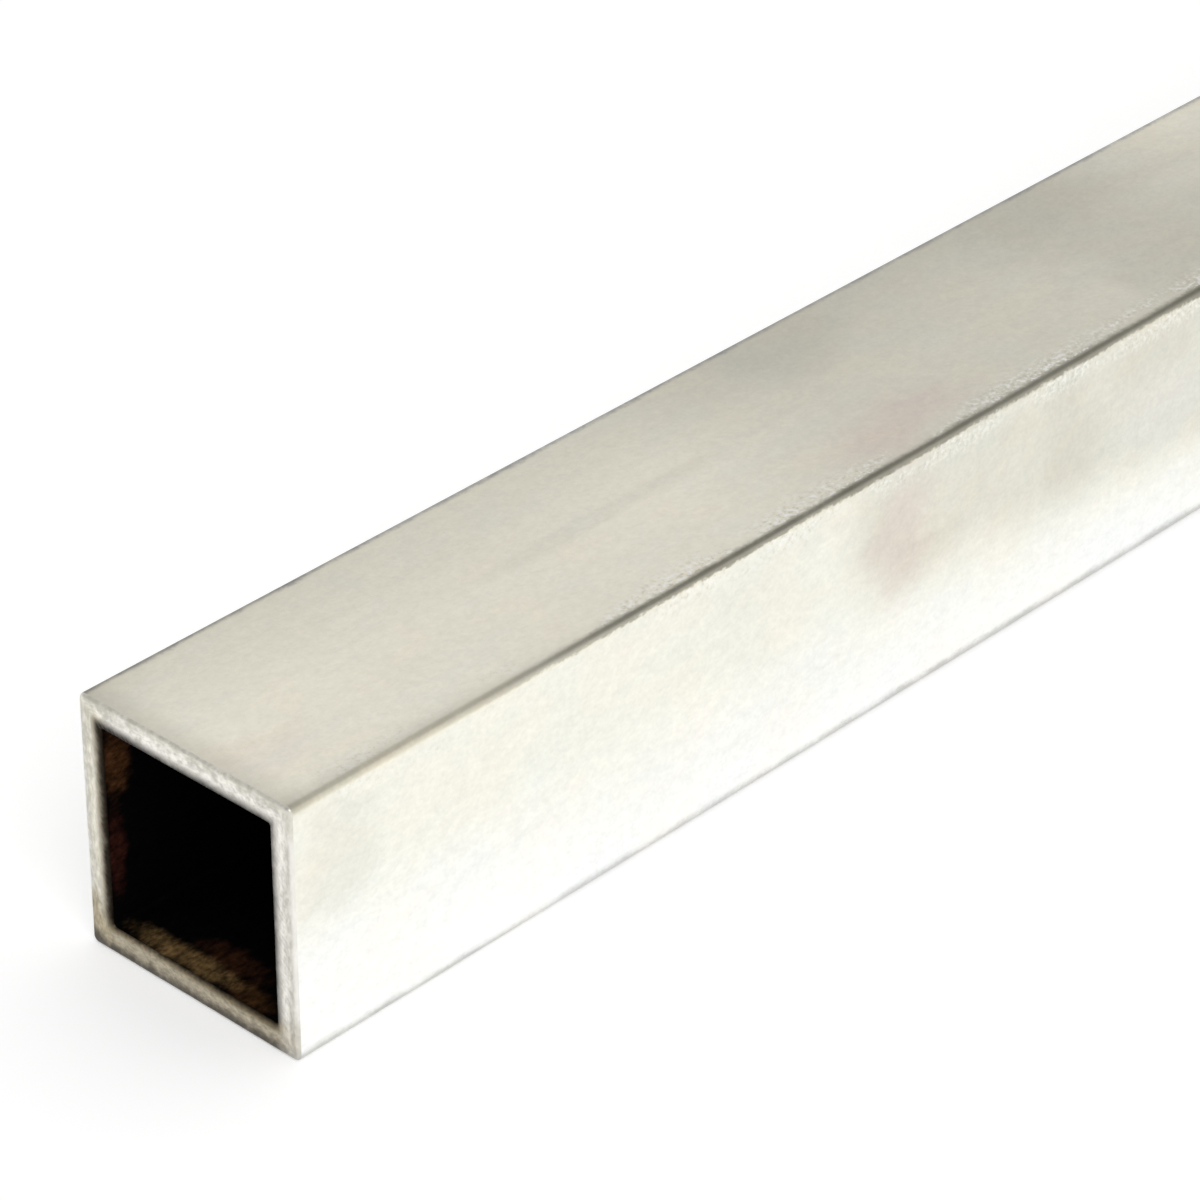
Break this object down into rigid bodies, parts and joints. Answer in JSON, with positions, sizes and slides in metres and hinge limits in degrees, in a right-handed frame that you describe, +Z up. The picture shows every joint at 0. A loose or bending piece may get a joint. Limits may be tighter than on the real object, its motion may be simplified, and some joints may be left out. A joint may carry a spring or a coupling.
{
  "type": "square metal tube",
  "caption": "Length of extruded aluminium square tube, open right through, with small-radius corners and sawn ends with their burr taken off.",
  "frame": {"origin": "middle of the underside, halfway along the tube", "axes": "+X along the tube, +Z up out of the top face, +Y towards the back face"},
  "size_m": [0.3, 0.02, 0.02],
  "materials": {
    "aluminium": "satin mill finish, fine lines along the tube, sawn ends"
  },
  "bodies": {
    "root": {"square_tube": "aluminium"}
  },
  "joints": []
}
